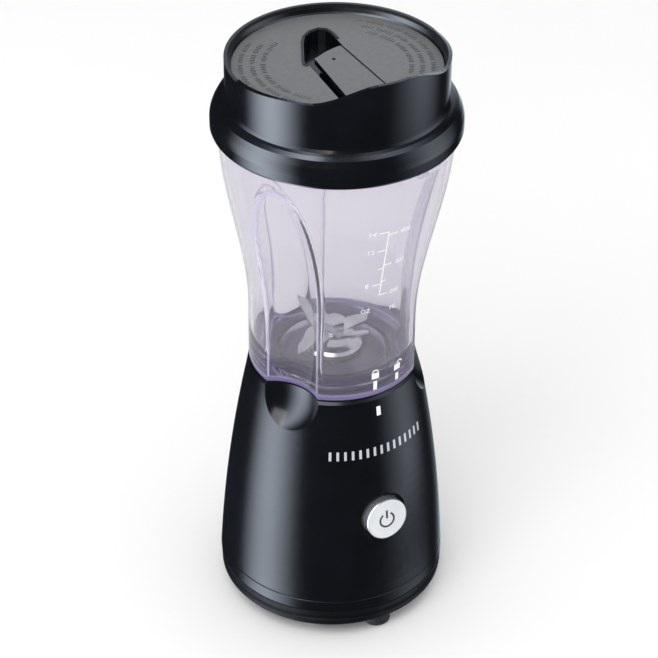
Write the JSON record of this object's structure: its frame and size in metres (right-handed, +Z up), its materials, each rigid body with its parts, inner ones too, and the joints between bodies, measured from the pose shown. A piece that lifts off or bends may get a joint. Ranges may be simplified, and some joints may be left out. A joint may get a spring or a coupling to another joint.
{
  "type": "countertop blender",
  "caption": "Single-serve blender: tapered motor base with push button, lift-off clear jar with cross blades, and a screw lid with a raised drinking lip and sip slider.",
  "frame": {"origin": "centre of the footprint, on the face under the rubber feet", "axes": "+Z up along the drive axis, -Y towards the power button and drinking lip, +X to the right seen from the front"},
  "size_m": [0.1116, 0.1116, 0.3004],
  "materials": {
    "black_gloss": "gloss",
    "black_satin": "fine satin texture",
    "black_rubber": "matt",
    "grey_silicone": "matt",
    "clear_plastic": "clear and polished",
    "button_silver": "pearl gloss",
    "white_nylon": "natural nylon",
    "stainless": "brushed",
    "lamination_steel": "stacked sheet edges",
    "zinc_steel": "zinc plated",
    "bracket_aluminium": "die cast",
    "copper": "enamelled copper",
    "brass": "turned brass",
    "carbon": "pressed carbon"
  },
  "bodies": {
    "base": {"base_housing": "black_gloss", "base_bottom_cover": "black_satin", "cover_screws": "zinc_steel", "rubber_feet": "black_rubber", "cord_gland": "black_rubber", "motor_upper_bracket": "bracket_aluminium", "motor_lower_bracket": "bracket_aluminium", "stator_core": "lamination_steel", "field_coils": "copper", "upper_bearing": "stainless", "lower_bearing": "stainless", "brush_holders": "brass", "carbon_brushes": "carbon", "motor_screws": "zinc_steel", "deck_seal": "black_rubber", "switch_cap": "black_satin", "switch_body": "white_nylon"},
    "power_button": {"power_button": "button_silver", "button_spring": "stainless"},
    "rotor": {"motor_shaft": "stainless", "rotor_core": "lamination_steel", "rotor_windings": "copper", "commutator": "copper", "cooling_fan": "white_nylon", "drive_coupler": "black_satin"},
    "jar_foot": {"jar_foot_gasket": "grey_silicone"},
    "jar": {"jar": "clear_plastic", "blade_hub": "stainless", "hub_gasket": "grey_silicone", "hub_nut": "zinc_steel", "shaft_bushing": "brass"},
    "blades": {"blade_shaft": "stainless", "lower_blade": "stainless", "upper_blade": "stainless", "blade_nut": "stainless", "driven_coupler": "black_rubber"},
    "lid_ring": {"lid_gasket": "grey_silicone"},
    "lid": {"lid_shell": "black_gloss"},
    "lid_slider": {"lid_slider": "black_satin", "sip_seal": "grey_silicone"}
  },
  "joints": [
    {"name": "motor_spin", "type": "hinge", "parent": "base", "child": "rotor", "pos_m": [0, 0, 0.0564], "axis": [0, 0, 1], "continuous": true},
    {"name": "button_press", "type": "slide", "parent": "base", "child": "power_button", "axis": [0, 0.9925, -0.1219], "range_m": [0, 0.00235], "stiffness_N_per_m": 500, "springref_m": -0.003, "deforming": ["button_spring"]},
    {"name": "jar_lift", "type": "slide", "parent": "base", "child": "jar_foot", "axis": [0, 0, 1], "range_m": [0, 0.06]},
    {"name": "jar_twist", "type": "hinge", "parent": "jar_foot", "child": "jar", "pos_m": [0, 0, 0.1222], "axis": [0, 0, 1], "range_deg": [-20, 0]},
    {"name": "blade_spin", "type": "hinge", "parent": "jar", "child": "blades", "pos_m": [0, 0, 0.141], "axis": [0, 0, 1], "continuous": true},
    {"name": "lid_lift", "type": "slide", "parent": "jar", "child": "lid_ring", "axis": [0, 0, 1], "range_m": [0, 0.01692]},
    {"name": "lid_turn", "type": "hinge", "parent": "lid_ring", "child": "lid", "pos_m": [0, 0, 0.2632], "axis": [0, 0, 1], "range_deg": [0, 540]},
    {"name": "slider_slide", "type": "slide", "parent": "lid", "child": "lid_slider", "axis": [0, 1, 0], "range_m": [0, 0.00611]}
  ],
  "couplings": [
    {"joint": "blade_spin", "follows": "motor_spin", "ratio": 1},
    {"joint": "lid_lift", "follows": "lid_turn", "m_per_rad": 0.0017953}
  ]
}
